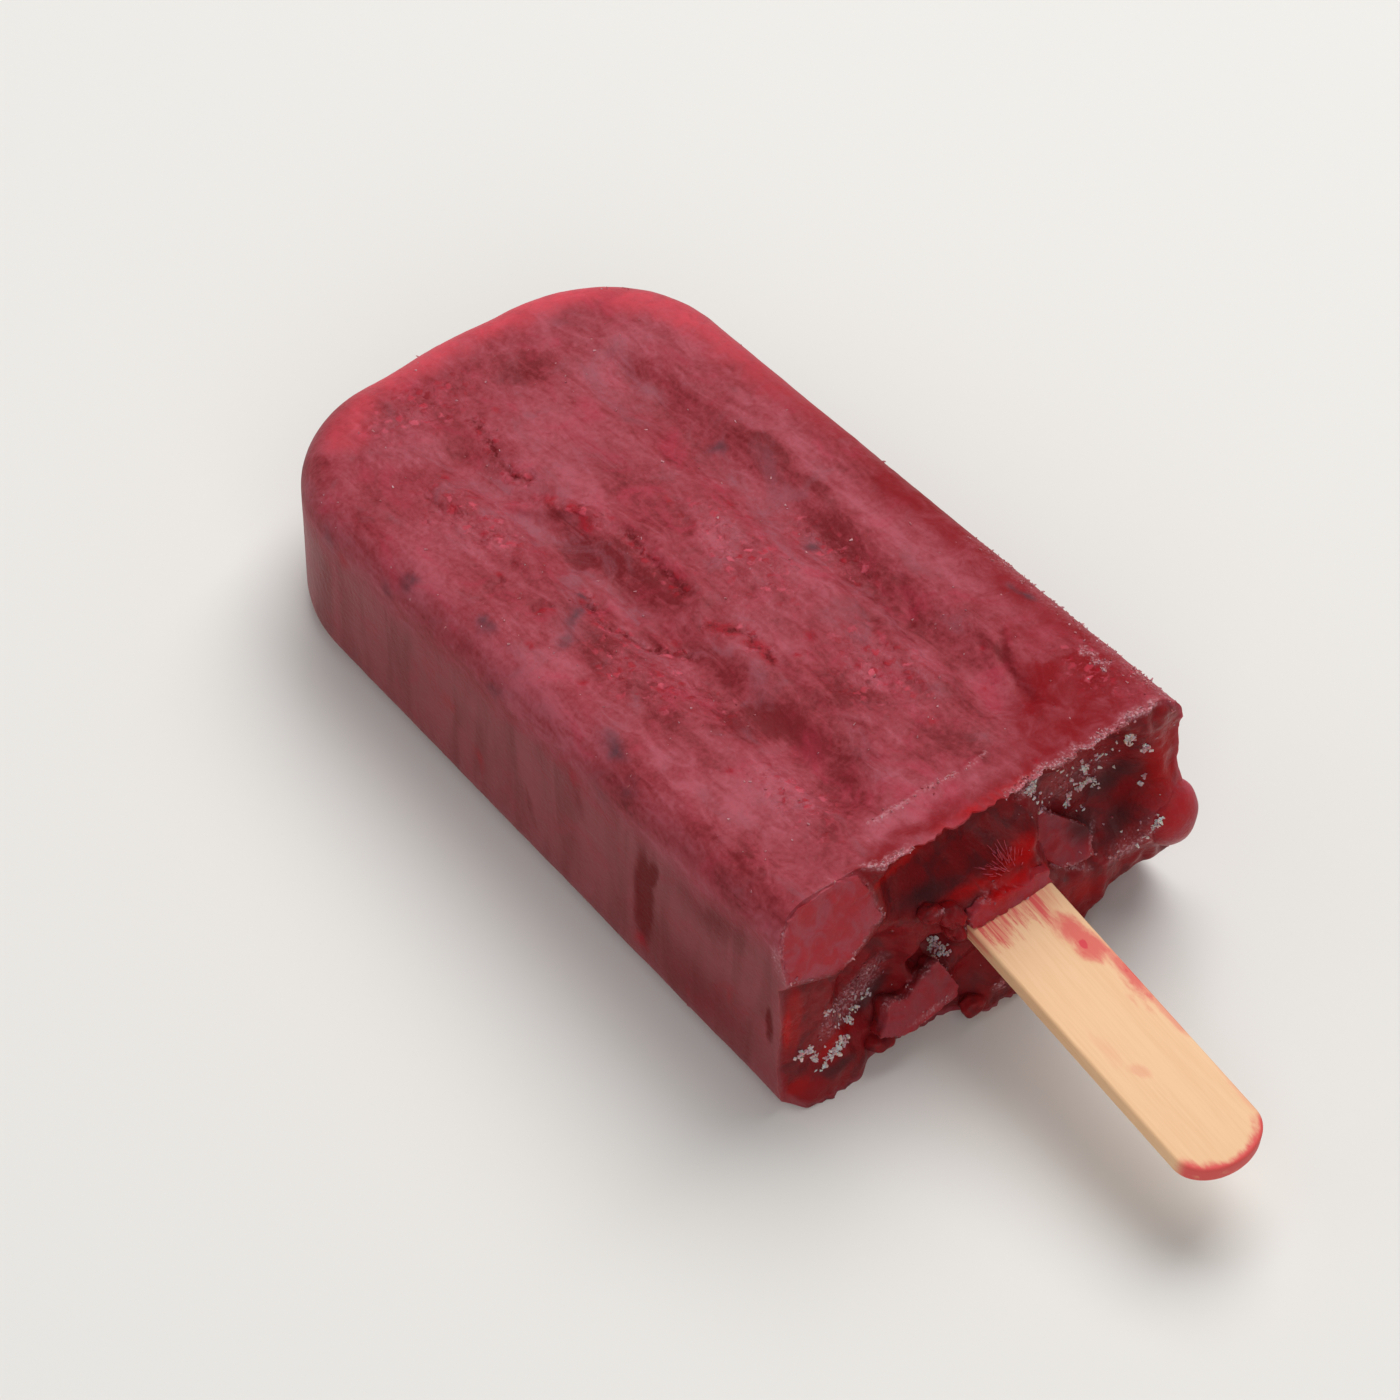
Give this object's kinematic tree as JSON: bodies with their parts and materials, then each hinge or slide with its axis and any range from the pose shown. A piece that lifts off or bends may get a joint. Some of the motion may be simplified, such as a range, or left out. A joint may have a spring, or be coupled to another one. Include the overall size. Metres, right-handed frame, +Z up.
{
  "type": "ice pop",
  "caption": "Frozen berry ice pop lying flat: a tapered fluted block with a rounded tip, a broken end and a flat wooden stick.",
  "frame": {"origin": "on the resting surface under the middle of the frozen block's length and width", "axes": "+X from the rounded tip of the block to the stick, +Y across the block, +Z up from the surface it lies on"},
  "size_m": [0.1276, 0.0507, 0.0285],
  "materials": {
    "berry_ice": "frosted translucent ice, dusty crimson, dark wine red and wet where it is broken",
    "birch_wood": "sanded pale birch, stained pink at both ends of the bare length"
  },
  "bodies": {
    "root": {"frozen_block": "berry_ice", "stick": "birch_wood"}
  },
  "joints": []
}
